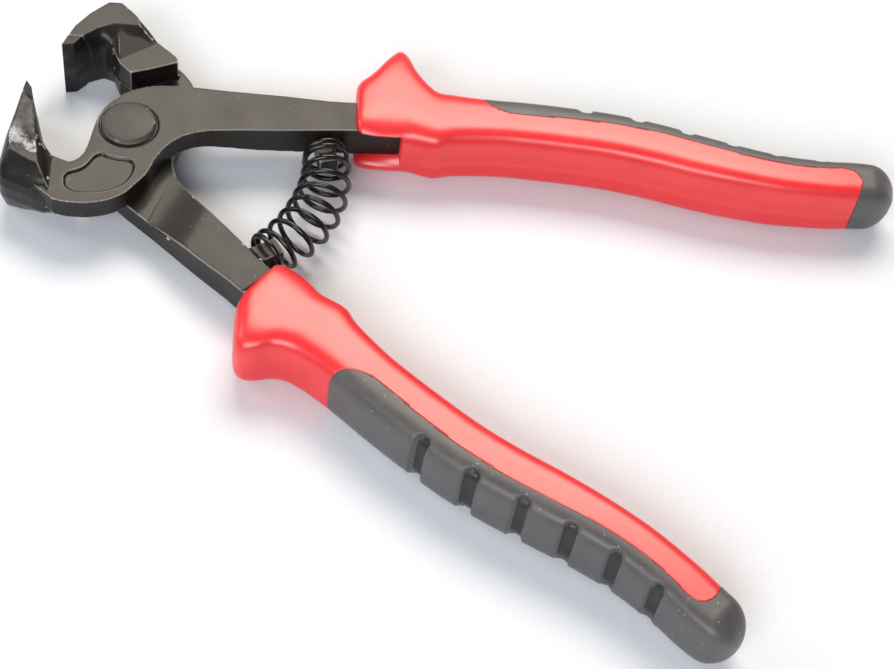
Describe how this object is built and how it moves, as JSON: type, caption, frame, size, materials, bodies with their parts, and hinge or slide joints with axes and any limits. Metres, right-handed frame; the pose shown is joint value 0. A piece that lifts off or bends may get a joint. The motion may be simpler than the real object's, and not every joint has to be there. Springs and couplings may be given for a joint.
{
  "type": "tile nippers",
  "caption": "Hand nippers for ceramic tile: crossed steel levers on one rivet, wide offset jaws with carbide tips, a curved return spring and two-component handle grips.",
  "frame": {"origin": "centre of the flat face of the pivot rivet's front head", "axes": "+Z out of the rivet head along the pivot axis, +X from the pivot towards the handle ends along the middle line between the open handles, +Y towards the front lever's handle"},
  "size_m": [0.1913, 0.1336, 0.016],
  "materials": {
    "lever_steel": "satin black",
    "carbide": "ground",
    "rivet_steel": "satin black",
    "spring_wire": "oiled black",
    "grip_plastic": "satin moulded",
    "grip_rubber": "matt moulded"
  },
  "bodies": {
    "front_half": {"front_lever": "lever_steel", "front_carbide_tip": "carbide", "front_grip": "grip_plastic", "front_grip_overmould": "grip_rubber", "pivot_rivet": "rivet_steel", "return_spring": "spring_wire"},
    "rear_half": {"rear_lever": "lever_steel", "rear_carbide_tip": "carbide", "rear_grip": "grip_plastic", "rear_grip_overmould": "grip_rubber"}
  },
  "joints": [
    {"name": "pivot", "type": "hinge", "parent": "front_half", "child": "rear_half", "pos_m": [0, 0, -0.0069], "axis": [0, 0, 1], "range_deg": [0, 25.5], "stiffness_Nm_per_rad": 1.5, "springref_deg": -5.16, "deforming": ["return_spring"]}
  ]
}
